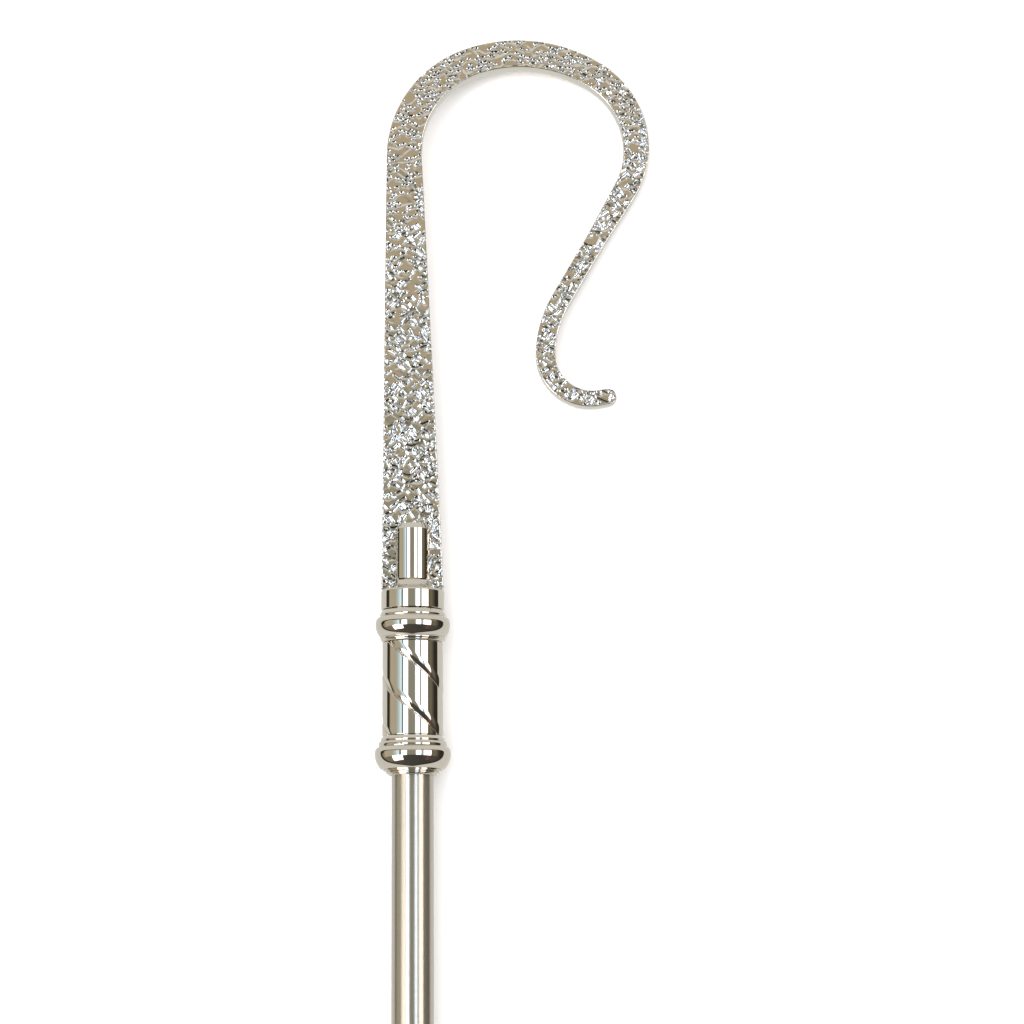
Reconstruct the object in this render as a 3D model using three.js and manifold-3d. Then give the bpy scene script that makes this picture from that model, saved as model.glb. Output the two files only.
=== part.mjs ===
import * as THREE from 'three';
import Module from 'manifold-3d';
import { mergeVertices } from 'three/addons/utils/BufferGeometryUtils.js';

// A bishop's crosier in nickel-plated brass: a flat cast crook held in a turned socket, two knops
// with a spiral-grooved barrel between them, and a plain round staff with a foot cap.
// It is made along its staff: +Y up the staff to the crook, +X to the side where the crook hangs
// over, +Z out of the crook's face, with zero at the top of the socket's collar. Then it is laid down.

const wasm = await Module();
wasm.setup();

// Fits
const seatGap = 0.3;
const slideGap = 0.3;

// Crook: a flat bar bent in its own plane, read from its foot to its tip
const barThickness = 8.5;
const barEdge = 1.3;
const footInset = 0.25;
const shankLean = 1.1;
const shankLength = 270.6;
const shankEndWidth = 21.6;
const shoulderRadius = 63;
const shoulderTurn = 72.5;
const shoulderEndWidth = 18.2;
const crownRadius = 87.2;
const crownTurn = 51.2;
const crownEndWidth = 17;
const bellyRadius = 56;
const bellyTurn = 87.6;
const bellyEndWidth = 14.8;
const fallTaperLength = 36;
const fallWidth = 12.1;
const fallLength = 43.5;
const sweepRadius = 72;
const sweepTurn = 27.6;
const hookRadius = 28;
const hookTurn = 103;
const hookEndWidth = 9.8;
const tipLength = 5;

// Crumpled relief of the crook's two faces: wavy ridges that lie across the upright crook
const ridgePitch = 10.5;
const ridgeDepth = 0.9;
const ridgeWander = 3.2;
const wanderPitch = 31;
const stationPitch = 3.5;
const faceStrips = 3;

// Socket: a slotted pin, a cove and a collar, with a spigot into the staff
const pinDiameter = 22;
const pinHeight = 39.9;
const pinChamfer = 1.7;
const pinChamferHeight = 3.2;
const collarDiameter = 37.8;
const collarHeight = 12;
const collarRound = 1.5;
const spigotLength = 28;

// Barrel with spiral grooves, a sleeve on the staff
const barrelDiameter = 36.2;
const barrelLength = 55.5;
const grooveStarts = 3;
const grooveLead = 86;
const grooveDepth = 1;
const grooveWidth = 3.4;
const grooveTurn = 60;
const laneRise = 0.5;
const lanePoints = 5;
const twistStep = 12;

// Knops, each a ring turned with a bead, a bold swelling and a band
const upperKnop = {
  height: 19.2,
  neckRadius: 18.4,
  beadRadius: 19.5,
  beadTop: 1.9,
  beadFoot: 3.8,
  crestRadius: 22.3,
  crestAt: 9.2,
  crestRise: 5.3,
  crestFall: 6.5,
  bandRadius: 19.3,
  bandHeight: 2,
  footRadius: 17.9,
};
const lowerKnop = {
  height: 23.2,
  neckRadius: 18.1,
  beadRadius: 20.2,
  beadTop: 4.4,
  beadFoot: 6.8,
  crestRadius: 22.6,
  crestAt: 11.8,
  crestRise: 4.8,
  crestFall: 7.2,
  bandRadius: 17.6,
  bandHeight: 1.6,
  footRadius: 14.2,
};

// Staff and its foot cap
const tubeDiameter = 25;
const tubeWall = 1.2;
const tubeLength = 1484;
const capDiameter = 28.4;
const capHeight = 32;
const capFloor = 7;
const capRound = 1.6;
const capBead = 0.8;
const capBeadHeight = 4;

// Sides of the round pieces
const turnedSides = 32;
const tubeSides = 36;

const polishedNickel = new THREE.MeshStandardMaterial({ color: 0xc9c3b6, roughness: 0.12, metalness: 1 });
const castNickel = new THREE.MeshStandardMaterial({ color: 0xc4bcab, roughness: 0.22, metalness: 1 });
const satinNickel = new THREE.MeshStandardMaterial({ color: 0xbfb9ab, roughness: 0.4, metalness: 1 });

const degrees = Math.PI / 180;
const tubeRadius = tubeDiameter / 2;
const pinRadius = pinDiameter / 2;
const collarRadius = collarDiameter / 2;
const barrelRadius = barrelDiameter / 2;
const sleeveBore = tubeRadius + slideGap;

function toManifold(geometry) {
  const bare = geometry.clone();
  bare.deleteAttribute('normal');
  bare.deleteAttribute('uv');
  const welded = mergeVertices(bare);
  const vertProperties = new Float32Array(welded.attributes.position.array);
  const triVerts = new Uint32Array(welded.index.array);
  return new wasm.Manifold(new wasm.Mesh({ numProp: 3, vertProperties, triVerts }));
}

function fromManifold(solid) {
  const mesh = solid.getMesh();
  const geometry = new THREE.BufferGeometry();
  geometry.setAttribute('position', new THREE.BufferAttribute(new Float32Array(mesh.vertProperties), 3));
  geometry.setIndex(new THREE.BufferAttribute(new Uint32Array(mesh.triVerts), 1));
  geometry.computeVertexNormals();
  return geometry;
}

// Joins rings of points, one after another, into a closed solid with a flat cap at each end.
// Each ring runs anticlockwise for someone who looks back along the row of rings.
function skin(rings) {
  const positions = [];
  const index = [];
  const count = rings[0].length;
  rings.forEach((ring) => ring.forEach((point) => positions.push(point.x, point.y, point.z)));
  for (let i = 0; i < rings.length - 1; i += 1) {
    for (let j = 0; j < count; j += 1) {
      const a = i * count + j;
      const b = i * count + ((j + 1) % count);
      index.push(a, b, b + count, a, b + count, a + count);
    }
  }
  const capEnd = (ring, first, outward) => {
    const middle = new THREE.Vector3();
    ring.forEach((point) => middle.addScaledVector(point, 1 / count));
    const centre = positions.length / 3;
    positions.push(middle.x, middle.y, middle.z);
    for (let j = 0; j < count; j += 1) {
      const a = first + j;
      const b = first + ((j + 1) % count);
      index.push(centre, outward ? a : b, outward ? b : a);
    }
  };
  capEnd(rings[0], 0, false);
  capEnd(rings[rings.length - 1], (rings.length - 1) * count, true);
  const geometry = new THREE.BufferGeometry();
  geometry.setAttribute('position', new THREE.Float32BufferAttribute(positions, 3));
  geometry.setIndex(index);
  geometry.computeVertexNormals();
  return geometry;
}

// Turns a profile of [radius, height] points about the staff
function turned(profile, sides = turnedSides) {
  return new THREE.LatheGeometry(profile.map(([radius, height]) => new THREE.Vector2(radius, height)), sides);
}

function ringOf(outerProfile, boreRadius) {
  const top = outerProfile[0][1];
  const foot = outerProfile[outerProfile.length - 1][1];
  const downward = [...outerProfile, [boreRadius, foot], [boreRadius, top], outerProfile[0]];
  return turned(downward.reverse());
}

// Points of an ellipse's quarter, from one angle to another, about a middle [radius, height]
function quarter([radius, height], reach, rise, fromAngle, toAngle, steps) {
  const points = [];
  for (let i = 0; i <= steps; i += 1) {
    const angle = (fromAngle + ((toAngle - fromAngle) * i) / steps) * degrees;
    points.push([radius + reach * Math.cos(angle), height + rise * Math.sin(angle)]);
  }
  return points;
}

// The bar's middle line: straight lengths and bends that follow each other without a kink
const spans = [
  { length: shankLength, turn: 0, width: shankEndWidth },
  { length: shoulderRadius * shoulderTurn * degrees, turn: -shoulderTurn, width: shoulderEndWidth },
  { length: crownRadius * crownTurn * degrees, turn: -crownTurn, width: crownEndWidth },
  { length: bellyRadius * bellyTurn * degrees, turn: -bellyTurn, width: bellyEndWidth },
  { length: fallTaperLength, turn: 0, width: fallWidth },
  { length: fallLength, turn: 0, width: fallWidth },
  { length: sweepRadius * sweepTurn * degrees, turn: sweepTurn, width: fallWidth },
  { length: hookRadius * hookTurn * degrees, turn: hookTurn, width: hookEndWidth },
  { length: tipLength, turn: 0, width: hookEndWidth },
];

function barStations() {
  const stations = [];
  let place = new THREE.Vector2(0, seatGap);
  let heading = (90 + shankLean) * degrees;
  let width = 2 * (collarRadius - footInset);
  spans.forEach(({ length, turn, width: endWidth }, number) => {
    const steps = Math.max(2, Math.round(length / stationPitch));
    const from = place.clone();
    const startHeading = heading;
    const startWidth = width;
    for (let i = number === 0 ? 0 : 1; i <= steps; i += 1) {
      const share = i / steps;
      const turnSoFar = turn * degrees * share;
      // The chord of a bend points half way between the headings at its two ends
      const bendShape = turn === 0 ? 1 : Math.sin(turnSoFar / 2) / (turnSoFar / 2);
      const chord = length * share * (i === 0 ? 1 : bendShape);
      const along = startHeading + turnSoFar / 2;
      place = new THREE.Vector2(from.x + chord * Math.cos(along), from.y + chord * Math.sin(along));
      heading = startHeading + turnSoFar;
      width = startWidth + (endWidth - startWidth) * share;
      stations.push({ place, heading, halfWidth: width / 2 });
    }
  });
  // The shank leans a little, but its foot is cut level to stand on the collar
  stations[0].heading = 90 * degrees;
  return stations;
}

// How deep the crumple goes below the face at a place on the upright crook, from 0 to 1
function crumple(x, y) {
  const wander = ridgeWander * Math.sin((2 * Math.PI * (x + 0.4 * y)) / wanderPitch);
  const ridge = Math.sin((2 * Math.PI * (y + wander)) / ridgePitch);
  const gap = Math.sin((2 * Math.PI * (x - 0.7 * y)) / (0.6 * wanderPitch));
  return 0.5 - 0.3 * ridge - 0.2 * gap;
}

// One section of the bar: front face, side, back face, side, with chamfered long edges
function barSection({ place, heading, halfWidth }, thickness = barThickness) {
  const edge = Math.min(barEdge, halfWidth / 2, thickness / 3);
  const across = new THREE.Vector2(-Math.sin(heading), Math.cos(heading));
  const point = (side, z, deep) => {
    const x = place.x + across.x * side;
    const y = place.y + across.y * side;
    const sunk = deep ? ridgeDepth * crumple(x, y) : 0;
    return new THREE.Vector3(x, y, z - Math.sign(z) * sunk);
  };
  const faceWidth = halfWidth - edge;
  const half = thickness / 2;
  const section = [];
  for (let i = 0; i <= faceStrips; i += 1) {
    section.push(point(faceWidth * (1 - (2 * i) / faceStrips), half, i > 0 && i < faceStrips));
  }
  section.push(point(-halfWidth, half - edge, false));
  section.push(point(-halfWidth, edge - half, false));
  for (let i = 0; i <= faceStrips; i += 1) {
    section.push(point(faceWidth * ((2 * i) / faceStrips - 1), -half, i > 0 && i < faceStrips));
  }
  section.push(point(halfWidth, edge - half, false));
  section.push(point(halfWidth, half - edge, false));
  return section;
}

function crook() {
  const stations = barStations();
  const rings = stations.map((station) => barSection(station));
  const last = stations[stations.length - 1];
  const tipAngles = [25, 50, 75];
  tipAngles.forEach((angle) => {
    const reach = last.halfWidth * Math.sin(angle * degrees);
    const place = last.place.clone();
    place.x += reach * Math.cos(last.heading);
    place.y += reach * Math.sin(last.heading);
    const shrink = Math.cos(angle * degrees);
    const station = { place, heading: last.heading, halfWidth: last.halfWidth * shrink };
    rings.push(barSection(station, barThickness * (0.5 + 0.5 * shrink)));
  });
  return skin(rings);
}

function socket() {
  const spigotRadius = tubeRadius - tubeWall - slideGap;
  const coveRadius = collarRadius - collarRound - pinRadius;
  const profile = [
    [0, pinHeight],
    [pinRadius - pinChamfer, pinHeight],
    [pinRadius, pinHeight - pinChamferHeight],
    ...quarter([pinRadius + coveRadius, coveRadius], coveRadius, coveRadius, 180, 270, 5),
    ...quarter([collarRadius - collarRound, -collarRound], collarRound, collarRound, 60, 0, 2),
    [collarRadius, -collarHeight + seatGap],
    [collarRadius - seatGap, -collarHeight],
    [spigotRadius, -collarHeight],
    [spigotRadius, -collarHeight - spigotLength],
    [0, -collarHeight - spigotLength],
  ];
  const body = toManifold(turned(profile.reverse()));
  // The slot that the bar's foot stands in, open to both sides and to the top
  const slotWidth = 2 * collarDiameter;
  const slotHeight = 2 * pinHeight;
  const slot = new THREE.BoxGeometry(slotWidth, slotHeight, barThickness + 2 * slideGap);
  slot.translate(0, slotHeight / 2, 0);
  return fromManifold(body.subtract(toManifold(slot)));
}

function knopProfile(knop) {
  const lowerBase = knop.bandRadius + seatGap;
  const crestFoot = knop.crestAt + knop.crestFall;
  const bandFoot = crestFoot + knop.bandHeight;
  const crestDepth = knop.crestRadius - knop.beadRadius;
  const footReach = knop.bandRadius - knop.footRadius;
  const footDrop = knop.height - bandFoot;
  return [
    [knop.neckRadius, 0],
    [knop.beadRadius, -knop.beadTop],
    [knop.beadRadius, -knop.beadFoot],
    ...quarter([knop.beadRadius, -knop.crestAt], crestDepth, knop.crestRise, 78, 0, 4),
    ...quarter([lowerBase, -knop.crestAt], knop.crestRadius - lowerBase, knop.crestFall, -18, -90, 4),
    [knop.bandRadius, -crestFoot],
    ...quarter([knop.footRadius, -bandFoot], footReach, footDrop, 0, -90, 2),
  ];
}

function knop(sizes, top) {
  return ringOf(knopProfile(sizes).map(([radius, height]) => [radius, height + top]), sleeveBore);
}

// The barrel's outline at one height: lanes that swell a little between the spiral grooves
function barrelSection(height, turn) {
  const laneAngle = 360 / grooveStarts;
  const grooveAngle = grooveWidth / barrelRadius / degrees;
  const ring = [];
  for (let start = 0; start < grooveStarts; start += 1) {
    const middle = turn + start * laneAngle;
    const place = (angle, radius) => {
      const a = (middle + angle) * degrees;
      ring.push(new THREE.Vector3(radius * Math.sin(a), height, radius * Math.cos(a)));
    };
    place(0, barrelRadius - laneRise - grooveDepth);
    for (let i = 0; i < lanePoints; i += 1) {
      const share = i / (lanePoints - 1);
      const angle = grooveAngle / 2 + share * (laneAngle - grooveAngle);
      place(angle, barrelRadius - laneRise * (2 * share - 1) ** 2);
    }
  }
  return ring;
}

function barrel(top) {
  const wholeTurn = (360 * barrelLength) / grooveLead;
  const steps = Math.ceil(wholeTurn / twistStep);
  const rings = [];
  for (let i = 0; i <= steps; i += 1) {
    const share = i / steps;
    rings.push(barrelSection(top - barrelLength * (1 - share), grooveTurn - wholeTurn * share));
  }
  const bore = new THREE.CylinderGeometry(sleeveBore, sleeveBore, 2 * barrelLength, turnedSides);
  bore.translate(0, top - barrelLength / 2, 0);
  return fromManifold(toManifold(skin(rings)).subtract(toManifold(bore)));
}

function staffTube(top) {
  const foot = top - tubeLength;
  const bore = tubeRadius - tubeWall;
  return turned([[bore, top], [bore, foot], [tubeRadius, foot], [tubeRadius, top], [bore, top]], tubeSides);
}

// A cup over the staff's foot, with a bead round its mouth
function footCap(staffFoot) {
  const capRadius = capDiameter / 2;
  const floorTop = staffFoot - seatGap;
  const foot = floorTop - capFloor;
  const mouth = foot + capHeight;
  return turned([
    [0, foot],
    [capRadius - capRound, foot],
    ...quarter([capRadius - capRound, foot + capRound], capRound, capRound, -45, 0, 1),
    [capRadius, mouth - capBeadHeight],
    ...quarter([capRadius, mouth - capBeadHeight / 2], capBead, capBeadHeight / 2, -60, 60, 3),
    [capRadius - capBead, mouth],
    [sleeveBore, mouth],
    [sleeveBore, floorTop],
    [0, floorTop],
  ]);
}

function piece(name, geometry, material) {
  const mesh = new THREE.Mesh(geometry, material);
  mesh.name = name;
  return mesh;
}

const staffTop = -collarHeight - seatGap;
const barrelTop = staffTop - upperKnop.height - seatGap;
const lowerKnopTop = barrelTop - barrelLength - seatGap;
const staffFoot = staffTop - tubeLength;

const crosier = new THREE.Group();
crosier.add(
  piece('crook', crook(), castNickel),
  piece('crook_socket', socket(), polishedNickel),
  piece('upper_knop_ring', knop(upperKnop, staffTop), polishedNickel),
  piece('spiral_barrel', barrel(barrelTop), polishedNickel),
  piece('lower_knop_ring', knop(lowerKnop, lowerKnopTop), polishedNickel),
  piece('staff_tube', staffTube(staffTop), satinNickel),
  piece('foot_ferrule', footCap(staffFoot), polishedNickel),
);

// Laid down, the crosier rests on three points: its foot cap, its lower knop and the crook's side.
// The pitch brings the cap and the knop to the floor, and the roll lets the crook down onto it.
const capFoot = staffFoot - seatGap - capFloor + capRound;
const crestHeight = lowerKnopTop - lowerKnop.crestAt;
const pitch = Math.atan((lowerKnop.crestRadius - capDiameter / 2) / (crestHeight - capFoot));
const floorLevel = crestHeight * Math.sin(pitch) - lowerKnop.crestRadius * Math.cos(pitch);

function crookClearance(roll) {
  const corners = crosier.getObjectByName('crook').geometry.attributes.position;
  let lowest = Infinity;
  for (let i = 0; i < corners.count; i += 1) {
    const lowered = corners.getZ(i) * Math.cos(roll) - corners.getX(i) * Math.sin(roll);
    lowest = Math.min(lowest, lowered * Math.cos(pitch) + corners.getY(i) * Math.sin(pitch));
  }
  return lowest - floorLevel;
}

function restingRoll() {
  let least = 0;
  let most = Math.PI / 4;
  for (let i = 0; i < 40; i += 1) {
    const middle = (least + most) / 2;
    if (crookClearance(middle) > 0) {
      least = middle;
    } else {
      most = middle;
    }
  }
  return least;
}

crosier.rotation.y = restingRoll();
const lying = new THREE.Group();
lying.add(crosier);
lying.rotation.x = pitch;
const laidCrosier = new THREE.Group();
laidCrosier.add(lying);
laidCrosier.updateMatrixWorld(true);
const bounds = new THREE.Box3().setFromObject(laidCrosier, true);
const middle = bounds.getCenter(new THREE.Vector3());
lying.position.set(-middle.x, -middle.y, -bounds.min.z);
laidCrosier.updateMatrixWorld(true);

export default laidCrosier;
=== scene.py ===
import bpy, bmesh, math
import numpy as np
from mathutils import Matrix, Vector


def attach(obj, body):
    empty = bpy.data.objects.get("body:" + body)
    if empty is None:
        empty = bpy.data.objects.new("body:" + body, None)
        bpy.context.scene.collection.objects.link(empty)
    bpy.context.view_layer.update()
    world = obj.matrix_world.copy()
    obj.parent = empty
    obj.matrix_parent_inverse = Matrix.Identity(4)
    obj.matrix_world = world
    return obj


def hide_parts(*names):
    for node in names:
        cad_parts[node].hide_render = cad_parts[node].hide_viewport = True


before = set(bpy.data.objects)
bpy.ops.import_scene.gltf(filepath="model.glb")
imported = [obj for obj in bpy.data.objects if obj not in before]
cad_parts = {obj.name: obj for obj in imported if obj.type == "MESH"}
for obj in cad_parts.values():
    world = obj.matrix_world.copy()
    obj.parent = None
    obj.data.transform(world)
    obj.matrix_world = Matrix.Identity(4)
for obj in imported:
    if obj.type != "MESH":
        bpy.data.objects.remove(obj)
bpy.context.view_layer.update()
print("frame loaded")

# Every piece is made in millimetres on the standing crosier, then laid down as the frame has it:
# Y up the staff to the crook, X to the side where the crook hangs over, Z out of its face,
# with zero at the top of the socket's collar

degrees = math.pi / 180
mm = 0.001
pin = {"radius": 11.0, "height": 39.9, "chamfer": 1.7, "chamferHeight": 3.2, "slotHalf": 4.55}


def nodePoints(name):
    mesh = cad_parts[name].data
    points = np.zeros(len(mesh.vertices) * 3)
    mesh.vertices.foreach_get("co", points)
    return points.reshape(-1, 3)


def findBench():
    tube = nodePoints("staff_tube")
    crook = nodePoints("crook")
    middle = (tube.min(0) + tube.max(0)) / 2
    along = np.linalg.svd(tube - tube.mean(0), full_matrices=False)[2][0]
    along *= np.sign(along[1])
    face = np.linalg.svd(crook - crook.mean(0), full_matrices=False)[2][2]
    face -= along * (face @ along)
    face *= np.sign(face[2]) / np.linalg.norm(face)
    across = np.cross(along, face)
    pinEnd = ((nodePoints("crook_socket") - middle) @ along).max()
    zero = middle + along * (pinEnd - pin["height"] * mm)
    lying = Matrix.Identity(4)
    for row in range(3):
        lying[row][0], lying[row][1], lying[row][2] = across[row], along[row], face[row]
        lying[row][3] = zero[row]
    return lying


bench = findBench()
layDown = bench @ Matrix.Scale(mm, 4)


def colour(hexValue, gain=1.0):
    channels = [int(hexValue[i : i + 2], 16) / 255 for i in (1, 3, 5)]
    linear = [c / 12.92 if c <= 0.04045 else ((c + 0.055) / 1.055) ** 2.4 for c in channels]
    return [c * gain for c in linear] + [1.0]


def addNode(tree, kind, inputs=None, **settings):
    node = tree.nodes.new(kind)
    for name, value in settings.items():
        setattr(node, name, value)
    for key, value in (inputs or {}).items():
        if isinstance(value, bpy.types.Node):
            value = next(socket for socket in value.outputs if socket.enabled)
        if isinstance(value, bpy.types.NodeSocket):
            tree.links.new(value, node.inputs[key])
        else:
            node.inputs[key].default_value = value
    return node


def standingPiece(name, points, faces, material):
    mesh = bpy.data.meshes.new(name)
    mesh.from_pydata(points, [], faces)
    mesh.materials.append(material)
    shell = bmesh.new()
    shell.from_mesh(mesh)
    bmesh.ops.remove_doubles(shell, verts=shell.verts, dist=1e-5)
    bmesh.ops.recalc_face_normals(shell, faces=shell.faces)
    shell.to_mesh(mesh)
    shell.free()
    piece = bpy.data.objects.new(name, mesh)
    bpy.context.scene.collection.objects.link(piece)
    return piece


def newShapeTree(name, sizes):
    tree = bpy.data.node_groups.new(name, "GeometryNodeTree")
    tree.interface.new_socket("Geometry", in_out="INPUT", socket_type="NodeSocketGeometry")
    tree.interface.new_socket("Geometry", in_out="OUTPUT", socket_type="NodeSocketGeometry")
    for key in sizes:
        tree.interface.new_socket(key, in_out="INPUT", socket_type="NodeSocketFloat")
    return tree


def endShapeTree(tree, geometry, material):
    real = addNode(tree, "GeometryNodeRealizeInstances", {"Geometry": geometry})
    finish = addNode(tree, "GeometryNodeSetMaterial", {"Geometry": real, "Material": material})
    addNode(tree, "NodeGroupOutput", {"Geometry": finish})


def makePlainMesh(piece):
    graph = bpy.context.evaluated_depsgraph_get()
    shaped = bpy.data.meshes.new_from_object(piece.evaluated_get(graph), depsgraph=graph)
    piece.modifiers.clear()
    old = piece.data
    piece.data = shaped
    bpy.data.meshes.remove(old)
    shaped.name = piece.name


def runShapeTree(piece, tree, sizes):
    modifier = piece.modifiers.new("shape", "NODES")
    modifier.node_group = tree
    sockets = {item.name: item.identifier for item in tree.interface.items_tree if item.in_out == "INPUT"}
    for key, value in sizes.items():
        modifier[sockets[key]] = float(value)
    makePlainMesh(piece)


def fitPiece(piece, replaced, sharpAngle):
    piece.data.transform(layDown)
    piece.data.shade_smooth()
    piece.data.set_sharp_from_angle(angle=sharpAngle * degrees)
    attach(piece, "root")
    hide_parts(replaced)


# Metals: nickel plate over brass is a grey with a little warmth, and mirrors what is round it

nickelTint = {
    "plate": "#e6e1d7",
    "thin": "#dcd6ca",
    "cast": "#e8e4dc",
    # heelShade is painted shade: the dark colour mixed into the marks on the crook's faces
    "heelShade": "#3f3b33",
    "satin": "#dad5c9",
    "satinThin": "#ccc7ba",
}


def newMaterial(name):
    material = bpy.data.materials.new(name)
    material.use_nodes = True
    material.node_tree.nodes.clear()
    return material, material.node_tree


def standingCoordinates(tree):
    # Object coordinates turned back to the standing crosier, in metres
    backTurn = bench.inverted()
    place = addNode(tree, "ShaderNodeTexCoord").outputs["Object"]
    turn, move = backTurn.to_euler(), backTurn.translation
    return addNode(tree, "ShaderNodeMapping", {"Vector": place, "Rotation": turn, "Location": move})


noiseSpan = (0.3, 0.7)  # nearly all of a noise lies between these


def spread(tree, value, low, high):
    # A noise value spread over a range of its own
    span = {"From Min": noiseSpan[0], "From Max": noiseSpan[1], "To Min": low, "To Max": high}
    return addNode(tree, "ShaderNodeMapRange", {"Value": value, **span})


def metalSurface(tree, tints, mixing, inputs):
    tint = addNode(
        tree, "ShaderNodeMix", {0: mixing, 6: colour(tints[0]), 7: colour(tints[1])}, data_type="RGBA"
    )
    metal = addNode(
        tree, "ShaderNodeBsdfPrincipled", {"Base Color": tint.outputs[2], "Metallic": 1.0, **inputs}
    )
    addNode(tree, "ShaderNodeOutputMaterial", {"Surface": metal})


# Scales are in patches to the metre: the haze has one in 14 mm, the grain one in 1.1 mm, and the
# brushing one in 0.4 mm along the staff and 7 mm round it
plateHaze = {"scale": 70.0, "detail": 3.0, "roughness": (0.035, 0.07)}
castGrain = {"scale": 900.0, "detail": 2.0, "roughness": (0.03, 0.06), "bump": 0.06, "depth": 0.0003}
brushing = {
    "scale": (150.0, 2400.0, 150.0),
    "detail": 3.0,
    "roughness": (0.29, 0.33),
    "bump": 0.03,
    "depth": 0.0002,
    "drawnOut": 0.92,
}


def noise(tree, place, scale, detail):
    return addNode(tree, "ShaderNodeTexNoise", {"Vector": place, "Scale": scale, "Detail": detail})


def polishedNickel():
    # Bright nickel plate on turned, buffed brass: a clean mirror with a faint haze from handling
    material, tree = newMaterial("polishedNickelPlate")
    haze = noise(tree, standingCoordinates(tree), plateHaze["scale"], plateHaze["detail"])
    tints = (nickelTint["plate"], nickelTint["thin"])
    metalSurface(tree, tints, haze.outputs[0], {"Roughness": spread(tree, haze, *plateHaze["roughness"])})
    return material


def castNickel():
    # The same plate on an unpolished casting: still bright, but duller where the skin is grainy.
    # Its colour carries painted shade: dark along the heels of the marks and lighter over the rest of each
    # mark
    material, tree = newMaterial("castNickelPlate")
    grain = noise(tree, standingCoordinates(tree), castGrain["scale"], castGrain["detail"])
    height = {"Height": grain.outputs[0], "Strength": castGrain["bump"], "Distance": castGrain["depth"]}
    skin = addNode(tree, "ShaderNodeBump", height)
    # Painted shade: the marks' darkness, kept on the mesh, darkens the base colour
    heelShade = addNode(tree, "ShaderNodeAttribute", attribute_name="heelShade")
    inputs = {"Roughness": spread(tree, grain, *castGrain["roughness"]), "Normal": skin}
    metalSurface(tree, (nickelTint["cast"], nickelTint["heelShade"]), heelShade.outputs["Fac"], inputs)
    return material


def satinNickel():
    # Nickel on a tube rubbed round and round with fine abrasive: what it mirrors is drawn out
    # along the tube, and stays sharper across it
    material, tree = newMaterial("satinNickelTube")
    place = {"Vector": standingCoordinates(tree), "Scale": brushing["scale"]}
    brush = noise(tree, addNode(tree, "ShaderNodeMapping", place), 1.0, brushing["detail"])
    height = {"Height": brush.outputs[0], "Strength": brushing["bump"], "Distance": brushing["depth"]}
    lines = addNode(tree, "ShaderNodeBump", height)
    alongStaff = addNode(tree, "ShaderNodeCombineXYZ", dict(zip("XYZ", bench.col[1][:3])))
    inputs = {
        "Roughness": spread(tree, brush, *brushing["roughness"]),
        "Anisotropic": brushing["drawnOut"],
        "Normal": lines,
        "Tangent": alongStaff,
    }
    metalSurface(tree, (nickelTint["satin"], nickelTint["satinThin"]), brush.outputs[0], inputs)
    return material


polished = polishedNickel()
cast = castNickel()
satin = satinNickel()
print("metals made")

# Turned pieces: a profile of (radius, height) points carried round the staff

turning = {"segments": 160, "support": 0.15, "longStraight": 6, "sharpAngle": 35}


def arc(middle, reach, rise, fromAngle, toAngle, steps=8):
    # Part of an ellipse
    points = []
    for i in range(steps + 1):
        angle = (fromAngle + (toAngle - fromAngle) * i / steps) * degrees
        points.append((middle[0] + reach * math.cos(angle), middle[1] + rise * math.sin(angle)))
    return points


def supported(profile, closed):
    # A point close to each end of a long straight keeps the shading of the rounds beside it clean
    points = []
    count = len(profile)
    for i, here in enumerate(profile):
        points.append(here)
        if i == count - 1 and not closed:
            break
        after = profile[(i + 1) % count]
        length = math.dist(here, after)
        if length > turning["longStraight"] * turning["support"]:
            for share in (turning["support"] / length, 1 - turning["support"] / length):
                points.append(tuple(a + (b - a) * share for a, b in zip(here, after)))
    return points


def turnedPiece(name, profile, closed, material, segments=None):
    profile = supported(profile, closed)
    segments = segments or turning["segments"]
    points, rings = [], []
    for radius, height in profile:
        if radius < 1e-6:
            rings.append([len(points)] * segments)
            points.append((0, height, 0))
            continue
        rings.append(list(range(len(points), len(points) + segments)))
        for j in range(segments):
            angle = 2 * math.pi * j / segments
            points.append((radius * math.sin(angle), height, radius * math.cos(angle)))
    faces = []
    following = rings[1:] + rings[:1] if closed else rings[1:]
    for low, high in zip(rings, following):
        for j in range(segments):
            k = (j + 1) % segments
            corners = list(dict.fromkeys((low[j], low[k], high[k], high[j])))
            if len(corners) > 2:
                faces.append(corners)
    return standingPiece(name, points, faces, material)


# Socket: the pin, the cove at its foot, the collar, and the spigot inside the staff

collar = {
    "radius": 18.9,
    "height": 12.0,
    "round": 1.5,
    "footChamfer": 0.3,
    "spigotRadius": 11.0,
    "spigot": 28.0,
}
gap = 0.3


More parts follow.
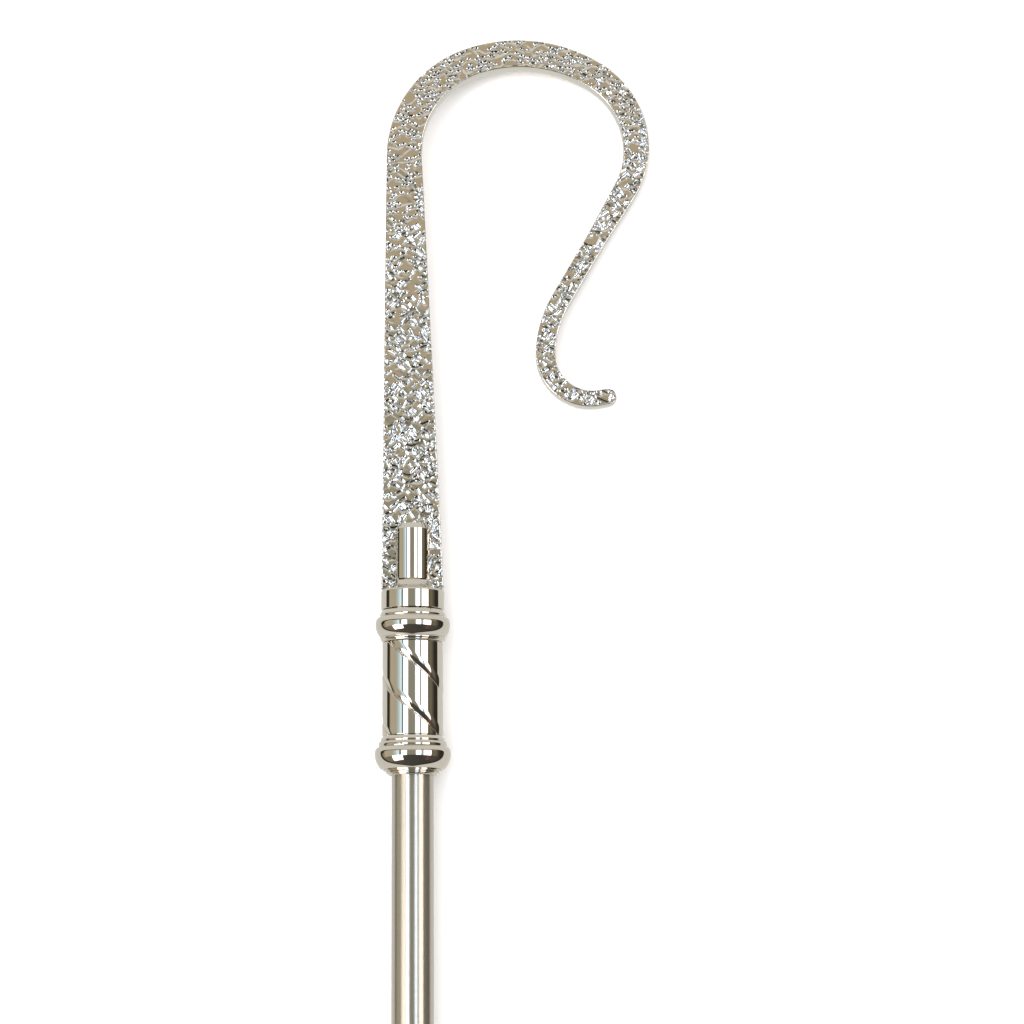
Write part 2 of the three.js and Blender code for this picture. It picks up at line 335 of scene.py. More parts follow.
def makeSocket():
    cove = collar["radius"] - collar["round"] - pin["radius"]
    radius, foot = collar["radius"], -collar["height"]
    profile = [
        (0, pin["height"]),
        (pin["radius"] - pin["chamfer"], pin["height"]),
        (pin["radius"], pin["height"] - pin["chamferHeight"]),
        *arc((pin["radius"] + cove, cove), cove, cove, 180, 262),
        *arc((radius - collar["round"], -collar["round"]), collar["round"], collar["round"], 82, 0, 6),
        (radius, foot + collar["footChamfer"]),
        (radius - collar["footChamfer"], foot),
        (collar["spigotRadius"], foot),
        (collar["spigotRadius"], foot - collar["spigot"]),
        (0, foot - collar["spigot"]),
    ]
    piece = turnedPiece("crookSocket", profile, False, polished)
    # The slot for the bar's foot, open to both sides and to the top
    half, reach = pin["slotHalf"], 2 * collar["radius"]
    corners = [(x, y, z) for x in (-reach, reach) for y in (0, 2 * reach) for z in (-half, half)]
    sides = [(0, 1, 3, 2), (4, 6, 7, 5), (0, 4, 5, 1), (2, 3, 7, 6), (0, 2, 6, 4), (1, 5, 7, 3)]
    cutter = standingPiece("slotCutter", corners, sides, polished)
    cut = piece.modifiers.new("slot", "BOOLEAN")
    cut.operation = "DIFFERENCE"
    cut.solver = "EXACT"
    cut.object = cutter
    makePlainMesh(piece)
    bpy.data.objects.remove(cutter)
    fitPiece(piece, "crook_socket", turning["sharpAngle"])


makeSocket()

# Knops. Each form goes down from the last: a bead is (its middle's depth, its radius, half its
# height, how round it is), and the swelling is (crest's depth, its radius, rise and reach of the
# round above it, radius and angle of the round below it)

staff = {"radius": 12.5, "wall": 1.2, "length": 1484.0, "slide": 0.3}
upperKnop = {
    "height": 19.2,
    "neck": 18.35,
    "beadsAbove": [(3.1, 19.6, 1.35, 2.3)],
    "swelling": (8.6, 22.3, 4.1, 2.0, 11.4, 42),
    "beadsBelow": [(17.1, 19.4, 1.0, 2.0)],
    "foot": (18.5, 17.6),
}
lowerKnop = {
    "height": 23.2,
    "neck": 18.0,
    "beadsAbove": [(2.3, 19.0, 0.85, 1.6), (5.3, 20.3, 1.85, 3.8)],
    "swelling": (10.2, 22.6, 3.6, 2.0, 13.8, 42),
    "beadsBelow": [(20.2, 17.5, 0.4, 0.7), (21.55, 15.9, 0.6, 1.0)],
    "foot": (14.6, 13.5),
}
knopTurning = {"neckChamfer": 0.3, "footStep": 0.1}
sleeveBore = staff["radius"] + staff["slide"]
staffTop = -collar["height"] - gap
barrelTop = staffTop - upperKnop["height"] - gap


def makeKnop(name, sizes, top, replaced):
    def bead(depth, radius, half, bend):
        turn = math.asin(half / bend) / degrees
        return arc((radius - bend, -depth), bend, bend, turn, -turn, 8)

    crestAt, crest, rise, reach, under, underAngle = sizes["swelling"]
    footTop, footRadius = sizes["foot"]
    footDepth = sizes["beadsBelow"][-1][0] + sizes["beadsBelow"][-1][2] + knopTurning["footStep"]
    neck, chamfer = sizes["neck"], knopTurning["neckChamfer"]
    profile = [(sleeveBore, 0), (neck - chamfer, 0), (neck, -chamfer)]
    for form in sizes["beadsAbove"]:
        profile += bead(*form)
    profile += arc((crest - reach, -crestAt), reach, rise, 80, 4, 14)
    profile += arc((crest - under, -crestAt), under, under, 0, -underAngle, 14)
    for form in sizes["beadsBelow"]:
        profile += bead(*form)
    drop = sizes["height"] - footDepth
    profile += arc((footRadius, -footDepth), footTop - footRadius, drop, 0, -86, 8)
    profile.append((sleeveBore, -sizes["height"]))
    piece = turnedPiece(name, [(radius, height + top) for radius, height in profile], True, polished)
    fitPiece(piece, replaced, turning["sharpAngle"])


makeKnop("upperKnop", upperKnop, staffTop, "upper_knop_ring")

# Barrel: a sleeve with spiral lanes. Each lane's lower edge falls away to a groove, and a short
# wall comes up from the groove to the next lane

barrel = {"radius": 18.1, "length": 55.5, "rowPitch": 0.32, "segments": 360, "endChamfer": 0.25}
spiral = {
    "starts": 3,
    "lead": 86.0,
    "firstTurn": 0.5,
    "depth": 0.35,
    "wall": 0.85,
    "rollOff": 1.2,
    "rollWidth": 8.2,
    "rollPower": 1.4,
    "skin": 0.5,  # how far in from the outside a point still belongs to it
}
lowerKnopTop = barrelTop - barrel["length"] - gap


def spiralTree():
    tree = newShapeTree("spiralGrooves", ["foot", "radius", *spiral])
    given = addNode(tree, "NodeGroupInput")

    def sums(operation, *values):
        return addNode(tree, "ShaderNodeMath", dict(enumerate(values)), operation=operation)

    def nearness(distance, size):
        # 1 at the groove, and 0 from the given distance on
        return sums("SUBTRACT", 1.0, sums("MINIMUM", sums("DIVIDE", distance, given.outputs[size]), 1.0))

    place = addNode(tree, "ShaderNodeSeparateXYZ", {0: addNode(tree, "GeometryNodeInputPosition")})
    x, y, z = place.outputs
    angle = sums("DIVIDE", sums("ARCTAN2", x, z), 2 * math.pi)
    rise = sums("DIVIDE", sums("SUBTRACT", y, given.outputs["foot"]), given.outputs["lead"])
    turn = sums("MULTIPLY", sums("ADD", angle, rise), given.outputs["starts"])
    offGroove = sums("WRAP", sums("ADD", turn, given.outputs["firstTurn"]), 0.5, -0.5)
    # How far round the barrel a point is above or below the nearest groove, in mm
    laneArc = sums("DIVIDE", sums("MULTIPLY", given.outputs["radius"], 2 * math.pi), given.outputs["starts"])
    away = sums("MULTIPLY", offGroove, laneArc)
    above = sums("MAXIMUM", away, 0.0)
    below = sums("MAXIMUM", sums("MULTIPLY", away, -1.0), 0.0)
    wall = nearness(below, "wall")
    fall = sums("POWER", nearness(above, "rollWidth"), given.outputs["rollPower"])
    groove = sums("MULTIPLY", nearness(sums("ADD", above, below), "wall"), given.outputs["depth"])
    sink = sums("ADD", groove, sums("MULTIPLY", sums("MULTIPLY", fall, wall), given.outputs["rollOff"]))
    flat = addNode(tree, "ShaderNodeCombineXYZ", {"X": x, "Z": z})
    outward = addNode(tree, "ShaderNodeVectorMath", {0: flat}, operation="NORMALIZE")
    inward = addNode(
        tree,
        "ShaderNodeVectorMath",
        {0: outward, "Scale": sums("MULTIPLY", sink, -1.0)},
        operation="SCALE",
    )
    reach = addNode(tree, "ShaderNodeVectorMath", {0: flat}, operation="LENGTH")
    skin = sums("SUBTRACT", given.outputs["radius"], given.outputs["skin"])
    outer = sums("GREATER_THAN", reach.outputs["Value"], skin)
    moved = addNode(
        tree,
        "GeometryNodeSetPosition",
        {"Geometry": given.outputs["Geometry"], "Selection": outer, "Offset": inward},
    )
    endShapeTree(tree, moved, polished)
    return tree


def makeBarrel():
    radius, chamfer, foot = barrel["radius"], barrel["endChamfer"], barrelTop - barrel["length"]
    rows = round(barrel["length"] / barrel["rowPitch"])
    heights = [barrelTop - chamfer - (barrel["length"] - 2 * chamfer) * i / rows for i in range(rows + 1)]
    profile = [
        (sleeveBore, barrelTop),
        (radius - chamfer, barrelTop),
        *[(radius, height) for height in heights],
        (radius - chamfer, foot),
        (sleeveBore, foot),
    ]
    piece = turnedPiece("spiralBarrel", profile, True, polished, barrel["segments"])
    runShapeTree(piece, spiralTree(), {"foot": foot, "radius": radius, **spiral})
    fitPiece(piece, "spiral_barrel", turning["sharpAngle"])


makeBarrel()
makeKnop("lowerKnop", lowerKnop, lowerKnopTop, "lower_knop_ring")

# Staff and the cap on its foot

cap = {
    "radius": 14.2,
    "height": 32.0,
    "floor": 7.0,
    "round": 1.6,
    "bead": 0.8,
    "beadHeight": 4.0,
    "beadGap": 0.2,
}


def makeStaff():
    foot, bore = staffTop - staff["length"], staff["radius"] - staff["wall"]
    profile = [(bore, staffTop), (bore, foot), (staff["radius"], foot), (staff["radius"], staffTop)]
    piece = turnedPiece("staffTube", profile, True, satin)
    fitPiece(piece, "staff_tube", turning["sharpAngle"])


def makeFootCap():
    floorTop = staffTop - staff["length"] - gap
    foot = floorTop - cap["floor"]
    mouth, inset, half = foot + cap["height"], cap["radius"] - cap["round"], cap["beadHeight"] / 2
    profile = [
        (0, foot),
        (inset, foot),
        *arc((inset, foot + cap["round"]), cap["round"], cap["round"], -84, 0, 8),
        (cap["radius"], mouth - cap["beadHeight"] - cap["beadGap"]),
        *arc((cap["radius"], mouth - half), cap["bead"], half, -85, 70, 10),
        (cap["radius"] - cap["bead"], mouth),
        (sleeveBore, mouth),
        (sleeveBore, floorTop),
        (0, floorTop),
    ]
    piece = turnedPiece("footCap", profile, False, polished)
    fitPiece(piece, "foot_ferrule", turning["sharpAngle"])


makeStaff()
makeFootCap()
print("turned pieces made")

# Crook: a flat bar bent in its own plane, read from its foot to its tip.
# Spans are (length or radius, turn in degrees, width at the end), with a turn of 0 for a straight

crookBar = {
    "footWidth": 37.3,
    "lean": 1.1,
    "thickness": 8.5,
    "edge": 0.45,
    "stationPitch": 0.48,
    "frontCell": 0.475,
    "backCell": 1.2,
    "columnStep": 4,
    "edgeSteps": 2,
    "edgeFade": 0.35,
    "edgeAtMost": (0.5, 0.6),  # shares of half the width and half the thickness
    "fullRelief": 4.0,  # half the width from which the marks have their whole depth
    "tipStep": 10,
    "tipThickness": 0.5,
    "sharpAngle": 20,
    "edgeSharpAngle": 60,
}
crookSpans = [
    (270.6, 0, 21.6),
    (63, -72.5, 18.2),
    (87.2, -51.2, 17),
    (56, -87.6, 14.8),
    (36, 0, 12.1),
    (43.5, 0, 12.1),
    (72, 27.6, 12.1),
    (28, 103, 9.8),
    (5, 0, 9.8),
]


def barStations():
    stations = []
    x, y, heading, width = 0.0, gap, (90 + crookBar["lean"]) * degrees, crookBar["footWidth"]
    for size, turn, endWidth in crookSpans:
        length = size * abs(turn) * degrees if turn else size
        steps = round(length / crookBar["stationPitch"])
        startX, startY, startHeading = x, y, heading
        for i in range(1 if stations else 0, steps + 1):
            share = i / steps
            soFar = turn * degrees * share
            shape = math.sin(soFar / 2) / (soFar / 2) if soFar else 1
            chord = length * share * shape
            x = startX + chord * math.cos(startHeading + soFar / 2)
            y = startY + chord * math.sin(startHeading + soFar / 2)
            heading = startHeading + soFar
            half = (width + (endWidth - width) * share) / 2
            stations.append((x, y, heading, half, crookBar["thickness"] / 2))
        width = endWidth
    stations[0] = (stations[0][0], stations[0][1], 90 * degrees, *stations[0][3:])
    x, y, heading, half, thick = stations[-1]
    thin = crookBar["tipThickness"]
    for angle in range(crookBar["tipStep"], 90, crookBar["tipStep"]):
        reach, shrink = half * math.sin(angle * degrees), math.cos(angle * degrees)
        tip = (x + reach * math.cos(heading), y + reach * math.sin(heading))
        stations.append((*tip, heading, half * shrink, thick * (thin + (1 - thin) * shrink)))
    return stations


def zipRows(low, high):
    # Triangles between two rows of points that may differ in number
    faces, i, j = [], 0, 0
    while i < len(low) - 1 or j < len(high) - 1:
        lowShare = (i + 1) / (len(low) - 1)
        highShare = (j + 1) / (len(high) - 1)
        if i < len(low) - 1 and j < len(high) - 1 and abs(lowShare - highShare) < 1e-9:
            faces.append((low[i], low[i + 1], high[j + 1], high[j]))
            i, j = i + 1, j + 1
        elif lowShare < highShare and i < len(low) - 1 or j == len(high) - 1:
            faces.append((low[i], low[i + 1], high[j]))
            i += 1
        else:
            faces.append((low[i], high[j + 1], high[j]))
            j += 1
    return faces


def makeCrook():
    points, faces, weights, rows = [], [], [], []
    stations = barStations()
    for x, y, heading, half, thick in stations:
        acrossX, acrossY = -math.sin(heading), math.cos(heading)
        wideShare, thickShare = crookBar["edgeAtMost"]
        edge = min(crookBar["edge"], half * wideShare, thick * thickShare)
        flat = half - edge

        def row(offsets):
            first = len(points)
            for side, z, weight in offsets:
                points.append((x + acrossX * side, y + acrossY * side, z))
                weights.append(weight)
            return list(range(first, len(points)))

        def faceRow(cell, z):
            step = crookBar["columnStep"]
            columns = step * max(1, round(2 * flat / cell / step))
            offsets = []
            for i in range(columns + 1):
                side = flat * (1 - 2 * i / columns)
                fade = min(1.0, (flat - abs(side)) / crookBar["edgeFade"])
                offsets.append((side, z, fade * min(1.0, half / crookBar["fullRelief"])))
            return row(offsets)

        front = faceRow(crookBar["frontCell"], thick)
        back = faceRow(crookBar["backCell"], -thick)
        turns = [i / crookBar["edgeSteps"] * 90 * degrees for i in range(1, crookBar["edgeSteps"] + 1)]
        left = [(-flat - edge * math.sin(a), thick - edge * (1 - math.cos(a)), 0) for a in turns]
        left += [(side, -z, 0) for side, z, _ in reversed(left)]
        right = [(-side, z, 0) for side, z, _ in left]
        leftRow = [front[-1], *row(left), back[-1]]
        rightRow = [back[0], *reversed(row(right)), front[0]]
        rows.append((front, leftRow, back[::-1], rightRow))
    for lower, upper in zip(rows, rows[1:]):
        for low, high in zip(lower, upper):
            faces += zipRows(low, high)
    for front, left, back, right in (rows[0], rows[-1]):
        faces.append(front + left[1:] + back[1:] + right[1:-1])
    mesh = bpy.data.meshes.new("crook")
    mesh.from_pydata(points, [], faces)
    mesh.materials.append(cast)
    mesh.attributes.new("faceShare", "FLOAT", "POINT").data.foreach_set("value", weights)
    shell = bmesh.new()
    shell.from_mesh(mesh)
    bmesh.ops.recalc_face_normals(shell, faces=shell.faces)
    shell.to_mesh(mesh)
    shell.free()
    piece = bpy.data.objects.new("crookBar", mesh)
    bpy.context.scene.collection.objects.link(piece)
    return piece, stations


# Crumpled faces: short chisel marks leaning both ways, gathered in wavy rows that lie across the
# upright crook, with pools of flat metal left between the rows. A mark drops at its upper side,
# the heel, slopes gently down and is closed by a short wall. Over the crown the marks are small
# round bowls. Each row of marks stands on a wavy step. A wave is (length in mm, phase)

crumple = {
    "seed": 7,
    "rowPitch": 4.8,
    "rowSwing": 2.0,
    "swingLength": 24.0,
    "swingPhase": 0.4,
    "counterSwing": 0.4,
    "counterLength": 0.55,
    "counterPhase": 1.9,
    "rowScatter": 0.45,
    "spacing": 2.9,
    "overhang": 2.0,
    "halfLength": (1.5, 2.8),
    "halfWidth": (0.7, 1.02),
    # Painted shade in the marks: how wide the dark band along a heel is, how far in it holds before fading,
    # and the least shade over a whole mark
    "heelShadeWidth": 0.9,
    "heelShadeHold": 1.25,
    "markShade": 0.25,
    "rimSlope": 0.9,
    "rimDrop": 0.16,
    "rampSlope": (0.1, 0.28),
    "wallSlope": 1.6,
    "endSlope": 1.6,
    "stepDrop": 1.3,
    "stepWall": 0.12,
    "stepDepth": 0.16,
    "crownStepDepth": 0.24,
    "stepMean": 0.55,
    "stepPatches": 0.8,
    "patchWave": (17.0, 1.1),
    "counterPatchWave": (29.0, 0.3),
    "stepRipple": 0.35,
    "rippleWave": (7.0, 2.0),
    "lean": 45.0,
    "leanScatter": 14.0,
    "leanWave": (11.0, 0.9),
    "sideScatter": 0.6,
    "dropped": 0.16,
    "droppedWave": (19.0, 2.2),
    "denseDropped": 0.4,
    "denseBelow": 110.0,
    "denseFrom": 75.0,
    "poolMarks": 0.24,
    "densePoolMarks": 0.38,
    "poolShift": 1.2,
    "crownFrom": 225.0,
    "crownBlur": 25.0,
    "hookHigher": 70.0,
    "beadHalf": (1.0, 1.35),
    "beadDepth": (0.42, 0.58),
    "beadStretch": 1.12,
    # Painted shade on the bowls: where its dark ring sits, and how much less of it the lower half of a bowl
    # gets
    "beadShadeRing": 1.1,
    "beadFootLessShade": 0.5,
}


def wave(x, y, length, phase):
    return np.sin(2 * np.pi * (x / length + y / (1.6 * length)) + phase)


def rowSwing(x, y):
    swing = wave(x, y, crumple["swingLength"], crumple["swingPhase"])
    counter = wave(x, -y, crumple["counterLength"] * crumple["swingLength"], crumple["counterPhase"])
    return crumple["rowSwing"] * (swing + crumple["counterSwing"] * counter)


def makeMarks(low, high, middles, halfWidths, seed):
    chance = np.random.default_rng(seed)
    marks = []
    for number in range(int((high[1] - low[1]) / crumple["rowPitch"])):
        x = np.arange(low[0], high[0], crumple["spacing"])
        x = x + chance.uniform(-0.5, 0.5, len(x)) * crumple["spacing"]
        y = low[1] + number * crumple["rowPitch"] + chance.normal(0, crumple["rowScatter"], len(x))
        swing = rowSwing(x, y)
        dense = (y < crumple["denseBelow"]) | (x > crumple["denseFrom"])
        dropped = crumple["dropped"] * (1 + wave(x, -y, *crumple["droppedWave"]))
        dropped = dropped * np.where(dense, crumple["denseDropped"], 1)
        inRow = chance.random(len(x)) > dropped
        marks.append(np.stack([x, y + swing, inRow], 1))
        pooled = chance.random(len(x)) < np.where(dense, crumple["densePoolMarks"], crumple["poolMarks"])
        between = y + swing + crumple["rowPitch"] / 2
        marks.append(np.stack([x + crumple["poolShift"], between, pooled], 1))
    marks = np.concatenate(marks)
    marks = marks[marks[:, 2] > 0.5][:, :2]
    reach = np.linalg.norm(marks[:, None] - middles[None], axis=2) - halfWidths[None]
    marks = marks[reach.min(1) < crumple["overhang"]]
    count = len(marks)
    leaning = wave(marks[:, 0], -marks[:, 1], *crumple["leanWave"])
    side = np.sign(leaning + chance.normal(0, crumple["sideScatter"], count))
    lean = side * (crumple["lean"] + chance.normal(0, crumple["leanScatter"], count)) * degrees
    crownFrom = crumple["crownFrom"] + crumple["hookHigher"] * (marks[:, 0] > crumple["denseFrom"])
    onCrown = marks[:, 1] + chance.normal(0, crumple["crownBlur"], count) > crownFrom
    bead = chance.uniform(*crumple["beadHalf"], count)
    chisel = chance.uniform(*crumple["halfLength"], count)
    halfLength = np.where(onCrown, crumple["beadStretch"] * bead, chisel)
    halfWidth = np.where(onCrown, bead, chance.uniform(*crumple["halfWidth"], count))
    slope = chance.uniform(*crumple["rampSlope"], count)
    bowl = np.where(onCrown, chance.uniform(*crumple["beadDepth"], count), 0)
    return np.column_stack([marks, np.cos(lean), np.sin(lean), halfLength, halfWidth, slope, bowl])


def sinkAt(points, marks):
    # How deep the deepest mark is at each point, and how much painted shade its colour gets: most near the
    # mark's heel
    order = np.argsort(points[:, 1])
    ranked = points[order]
    sink, heelShade = np.zeros(len(points)), np.zeros(len(points))
    for x, y, cosine, sine, halfLength, halfWidth, slope, bowl in marks:
        reach = halfLength + halfWidth
        first, last = np.searchsorted(ranked[:, 1], (y - reach, y + reach))
        across, up = ranked[first:last, 0] - x, ranked[first:last, 1] - y
        along = np.abs(across * cosine + up * sine)
        aside = up * cosine - across * sine
        fromTop, fromFoot, fromEnd = halfWidth - aside, halfWidth + aside, halfLength - along
        rim = crumple["rimSlope"] * fromTop
        ramp = crumple["rimDrop"] + slope * fromTop
        wall, ends = crumple["wallSlope"] * fromFoot, crumple["endSlope"] * fromEnd
        mark = np.minimum.reduce([rim, ramp, wall, ends])
        if bowl:
            mark = bowl * (1 - (along / halfLength) ** 2 - (aside / halfWidth) ** 2)
            # Painted shade on a bowl: a dark ring near its rim, with less painted shade on its lower half
            fromRim = crumple["beadShadeRing"] - np.hypot(along / halfLength, aside / halfWidth)
            fromTop = halfWidth * fromRim + crumple["beadFootLessShade"] * (aside < 0)
        deepest = mark > sink[first:last]
        # Painted shade: full along the heel, fading to a lighter painted shade over the rest of the mark
        near = np.clip(crumple["heelShadeHold"] - fromTop / crumple["heelShadeWidth"], crumple["markShade"], 1)
        sink[first:last] = np.where(deepest, mark, sink[first:last])
        heelShade[first:last] = np.where(deepest, near, heelShade[first:last])
    result = np.zeros((2, len(points)))
    result[0, order], result[1, order] = sink, heelShade
    return result


def stepSink(points, low):
    # How deep the wavy steps are: each sinks slowly on its way down to the short wall of the next
    x, y = points[:, 0], points[:, 1]
    phase = (y - rowSwing(x, y) - low[1] + crumple["stepDrop"]) / crumple["rowPitch"] % 1
    saw = np.minimum(phase / crumple["stepWall"], (1 - phase) / (1 - crumple["stepWall"]))
    patches = crumple["stepPatches"] * wave(x, y, *crumple["patchWave"])
    patches = patches * wave(x, -y, *crumple["counterPatchWave"])
    strength = crumple["stepMean"] + patches + crumple["stepRipple"] * wave(x, y, *crumple["rippleWave"])
    depth = np.where(y > crumple["crownFrom"], crumple["crownStepDepth"], crumple["stepDepth"])
    return depth * saw * np.clip(strength, 0, 1)


def crumpleFaces(piece, stations):
    mesh = piece.data
    points = np.zeros(len(mesh.vertices) * 3)
    mesh.vertices.foreach_get("co", points)
    points = points.reshape(-1, 3)
    share, heelShades = np.zeros(len(points)), np.zeros(len(points))
    mesh.attributes["faceShare"].data.foreach_get("value", share)
    middles = np.array([station[:2] for station in stations])
    halves = np.array([station[3] for station in stations])
    low, high = middles.min(0) - 20, middles.max(0) + 20
    for face in (1, -1):
        chosen = points[:, 2] * face > 0
        marks = makeMarks(low, high, middles, halves, crumple["seed"] + face)
        sink, heelShade = sinkAt(points[chosen, :2], marks)
        sink += stepSink(points[chosen, :2], low)
        points[chosen, 2] -= face * sink * share[chosen]
        heelShades[chosen] = heelShade * share[chosen]
        print(len(marks), "marks on a face of the crook")
    mesh.vertices.foreach_set("co", points.ravel())
    # The painted shade of the marks is kept on the mesh for the cast material's colour
    mesh.attributes.new("heelShade", "FLOAT", "POINT").data.foreach_set("value", heelShades)
    mesh.update()


def softenEdges(piece):
    # The marks are crisp, while the bar's long edges and its back are smooth
    mesh = piece.data
    share, ends = np.zeros(len(mesh.vertices)), np.zeros(len(mesh.edges) * 2, int)
    mesh.attributes["faceShare"].data.foreach_get("value", share)
    mesh.edges.foreach_get("vertices", ends)
    offFace = share[ends.reshape(-1, 2)].max(1) <= 0
    crisp = []
    for angle in (crookBar["edgeSharpAngle"], crookBar["sharpAngle"]):
        mesh.set_sharp_from_angle(angle=angle * degrees)
        crisp.append(np.zeros(len(offFace), bool))
        mesh.attributes["sharp_edge"].data.foreach_get("value", crisp[-1])
    mesh.attributes["sharp_edge"].data.foreach_set("value", np.where(offFace, *crisp))


crook, stations = makeCrook()
crumpleFaces(crook, stations)
fitPiece(crook, "crook", crookBar["sharpAngle"])
softenEdges(crook)
print("crook made,", sum(len(face.vertices) - 2 for face in crook.data.polygons), "triangles")

# Floor, studio and camera

floorSizes = {"half": 4.0, "colour": "#f4f3f1"}


def makeFloor():
    half = floorSizes["half"]
    mesh = bpy.data.meshes.new("floor")
    corners = [(-half, -half, 0), (half, -half, 0), (half, half, 0), (-half, half, 0)]
    mesh.from_pydata(corners, [], [(0, 1, 2, 3)])
    material, tree = newMaterial("palePaperFloor")
    paper = addNode(tree, "ShaderNodeBsdfDiffuse", {"Color": colour(floorSizes["colour"])})
    addNode(tree, "ShaderNodeOutputMaterial", {"Surface": paper})
    mesh.materials.append(material)
    floor = bpy.data.objects.new("floor", mesh)
    bpy.context.scene.collection.objects.link(floor)
    floor.visible_glossy = False


makeFloor()

# What the nickel mirrors: a pale light tent with an opening in front, wider than high, through
# which a room with lit panels shows. Colours are as the nickel shows them, and angles are degrees
# round the staff from straight in front, and above or below the level. Bands are (angle,
# colour, gain)
studio = {
    "strength": 3.0,
    "backdrop": "#f8f8f8",
    "tent": "#c8c3b6",
    "lintel": "#2e2920",
    "lintelFrom": 46.0,
    "lintelFoot": 14.0,
    "lintelBlur": (10.0, 3.0),
    "lintelDepth": 0.24,
    "tan": "#8f8671",
    "tanLift": (1.42, 1.3, 1.2),
    "tanLiftAt": (9.5, 12.5),
    "openSide": 112.0,
    "openTop": 22.0,
    "openBottom": 74.0,
    "openCurve": (3.0, 1.7),
    "openEdge": (0.97, 1.03),
    "frameFrom": (12.0, 25.0),
    "frameEdge": (0.84, 0.9),
    "footBlur": 1.0,
    "panelHead": (12.0, 13.5),
    "panelFoot": -14.0,
    "windowFoot": -36.0,
}
upperBands = [
    (-110, "#6f5f4a", 1.0),
    (-104, "#7d6c56", 1.0),
    (-95, "#958570", 1.0),
    (-88, "#aea289", 1.0),
    (-64, "#a99e86", 1.0),
    (-57, "#aab2a8", 1.0),
    (-50, "#bccac8", 1.0),
    (-41, "#e2f0f3", 1.1),
    (-38, "#6b7a79", 1.0),
    (-33, "#6b7a79", 1.0),
    (-31, "#e9f4ff", 3.0),
    (-17, "#e9f4ff", 3.0),
    (-15, "#8a8470", 1.0),
    (10, "#8a8470", 1.0),
    (13, "#d5e2ea", 1.1),
    (16, "#e9f4ff", 3.0),
    (26, "#e9f4ff", 3.0),
    (29, "#9fa5a6", 1.0),
    (35, "#9fa5a6", 1.0),
    (38, "#ffece0", 2.8),
    (60, "#ffece0", 2.8),
    (62, "#5c573c", 1.0),
    (74, "#6f6755", 1.0),
    (84, "#534d40", 1.0),
    (93, "#2f2c22", 1.0),
    (110, "#3a342a", 1.0),
]
lowerBands = [
    (-110, "#7d715c", 1.0),
    (-66, "#73695a", 1.0),
    (-62, "#ffe8d6", 5.0),
    (-33, "#ffe8d6", 5.0),
    (-29, "#4a4740", 1.0),
    (30, "#3d3b37", 1.0),
    (46, "#474340", 1.0),
    (52, "#6d4c41", 1.0),
    (60, "#4f4038", 1.0),
    (70, "#46443e", 1.0),
    (110, "#3a362c", 1.0),
]
floorBands = [
    (-110, "#6f6654", 1.0),
    (-40, "#4a463d", 1.0),
    (110, "#35322c", 1.0),
]


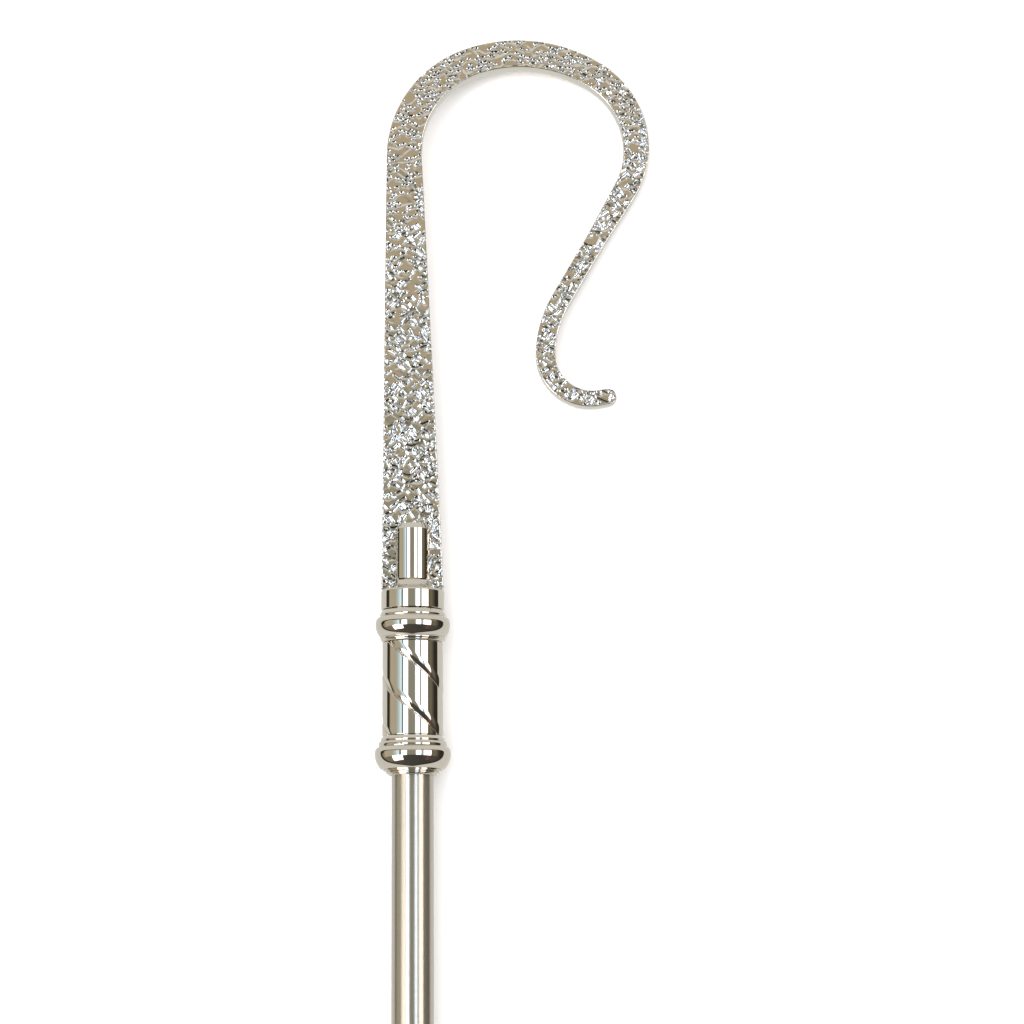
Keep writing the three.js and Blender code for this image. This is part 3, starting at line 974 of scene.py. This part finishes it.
def makeStudio():
    world = bpy.data.worlds.new("softStudio")
    bpy.context.scene.world = world
    world.use_nodes = True
    tree = world.node_tree
    tree.nodes.clear()
    plate = colour(nickelTint["plate"])

    def sums(operation, *values):
        return addNode(tree, "ShaderNodeMath", dict(enumerate(values)), operation=operation)

    def shown(value, gain=1.0):
        return [c * gain / t / studio["strength"] for c, t in zip(colour(value)[:3], plate)] + [1.0]

    def bands(factor, stops):
        node = addNode(tree, "ShaderNodeValToRGB", {"Fac": factor})
        elements = node.color_ramp.elements
        while len(elements) < len(stops):
            elements.new(1.0)
        for element, (angle, value, gain) in zip(elements, stops):
            element.position = angle / 360 + 0.5
            element.color = shown(value, gain)
        return node

    def step(value, low, high):
        return addNode(tree, "ShaderNodeMapRange", {"Value": value, "From Min": low, "From Max": high})

    def blend(factor, first, second):
        mixed = addNode(tree, "ShaderNodeMix", {0: factor}, data_type="RGBA")
        for key, value in ((6, first), (7, second)):
            if isinstance(value, bpy.types.NodeSocket):
                tree.links.new(value, mixed.inputs[key])
            else:
                mixed.inputs[key].default_value = value
        return mixed.outputs[2]

    def oval(azimuth, height, wide, tall, fullness):
        first = sums("POWER", sums("DIVIDE", sums("ABSOLUTE", azimuth), wide), fullness)
        second = sums("POWER", sums("DIVIDE", sums("ABSOLUTE", height), tall), fullness)
        return sums("ADD", first, second)

    direction = addNode(tree, "ShaderNodeTexCoord")
    standing = addNode(
        tree,
        "ShaderNodeMapping",
        {"Vector": direction.outputs["Generated"], "Rotation": bench.inverted().to_euler()},
    )
    x, y, z = addNode(tree, "ShaderNodeSeparateXYZ", {0: standing}).outputs
    azimuth = sums("DEGREES", sums("ARCTAN2", x, z))
    height = sums("DEGREES", sums("ARCSINE", y))
    along = sums("ADD", sums("DIVIDE", azimuth, 360.0), 0.5)
    upper, lower, floor = (bands(along, stops).outputs[0] for stops in (upperBands, lowerBands, floorBands))
    blur = studio["footBlur"]
    room = blend(step(height, studio["windowFoot"] - blur, studio["windowFoot"] + blur), floor, lower)
    room = blend(step(height, studio["panelFoot"] - blur, studio["panelFoot"] + blur), room, upper)
    room = blend(step(height, *studio["panelHead"]), room, shown(studio["tan"]))
    # Higher up the room's wall catches more of the tent's light
    lift = {0: step(height, *studio["tanLiftAt"]), 6: room, 7: [*studio["tanLift"], 1.0]}
    room = addNode(tree, "ShaderNodeMix", lift, data_type="RGBA", blend_type="MULTIPLY").outputs[2]
    isAbove = sums("GREATER_THAN", height, 0.0)
    curveAbove, curveBelow = studio["openCurve"]
    above = oval(azimuth, height, studio["openSide"], studio["openTop"], curveAbove)
    below = oval(azimuth, height, studio["openSide"], studio["openBottom"], curveBelow)
    edge = addNode(tree, "ShaderNodeMix", {0: isAbove, 2: below, 3: above})
    # The opening's frame is dark, with a deeper lintel at its upper corners
    side = sums("ABSOLUTE", azimuth)
    sideBlur, lintelBlur = studio["lintelBlur"]
    corner = step(side, studio["lintelFrom"], studio["lintelFrom"] + sideBlur)
    top = step(height, studio["lintelFoot"], studio["lintelFoot"] + lintelBlur)
    lintel = sums("MULTIPLY", corner, top)
    inner = sums("ADD", edge, sums("MULTIPLY", isAbove, studio["lintelDepth"]))
    border = sums("MULTIPLY", step(side, *studio["frameFrom"]), step(inner, *studio["frameEdge"]))
    room = blend(sums("MAXIMUM", lintel, border), room, shown(studio["lintel"]))
    around = blend(step(edge, *studio["openEdge"]), room, shown(studio["tent"]))
    lit = addNode(tree, "ShaderNodeBackground", {"Color": around, "Strength": studio["strength"]})
    plain = addNode(tree, "ShaderNodeBackground", {"Color": colour(studio["backdrop"])})
    path = addNode(tree, "ShaderNodeLightPath")
    seen = addNode(tree, "ShaderNodeMixShader", {0: path.outputs["Is Camera Ray"], 1: lit, 2: plain})
    addNode(tree, "ShaderNodeOutputWorld", {"Surface": seen})


makeStudio()

overheadLamp = {"along": 0.4, "height": 2.4, "size": 3.2, "power": 95.0}


def makeLamp():
    light = bpy.data.lights.new("floorLight", "AREA")
    light.shape = "SQUARE"
    light.size = overheadLamp["size"]
    light.energy = overheadLamp["power"]
    lamp = bpy.data.objects.new("floorLight", light)
    bpy.context.scene.collection.objects.link(lamp)
    lamp.location = (0, overheadLamp["along"], overheadLamp["height"])
    lamp.visible_glossy = False  # it only whitens the floor, and the nickel doesn't mirror it


makeLamp()

# The photograph's view, from below the crook and a little to one side of upright
camera = {
    "lens": 85.64,
    "sensor": 36,
    "distance": 1.4707,
    "tilt": 9.9,
    "roll": -0.39,
    "aim": (0.0596, 0.0478, 0.0),
}


def makeCamera():
    data = bpy.data.cameras.new("camera")
    data.lens = camera["lens"]
    data.sensor_width = camera["sensor"]
    eye = bpy.data.objects.new("camera", data)
    bpy.context.scene.collection.objects.link(eye)
    tilt = Matrix.Rotation(camera["tilt"] * degrees, 4, "X")
    roll = Matrix.Rotation(camera["roll"] * degrees, 4, "Z")
    away = Matrix.Translation((0, 0, camera["distance"]))
    eye.matrix_world = bench @ roll @ Matrix.Translation(camera["aim"]) @ tilt @ away
    bpy.context.scene.camera = eye


makeCamera()
bpy.context.scene.view_settings.view_transform = "Standard"
print("studio and camera set")
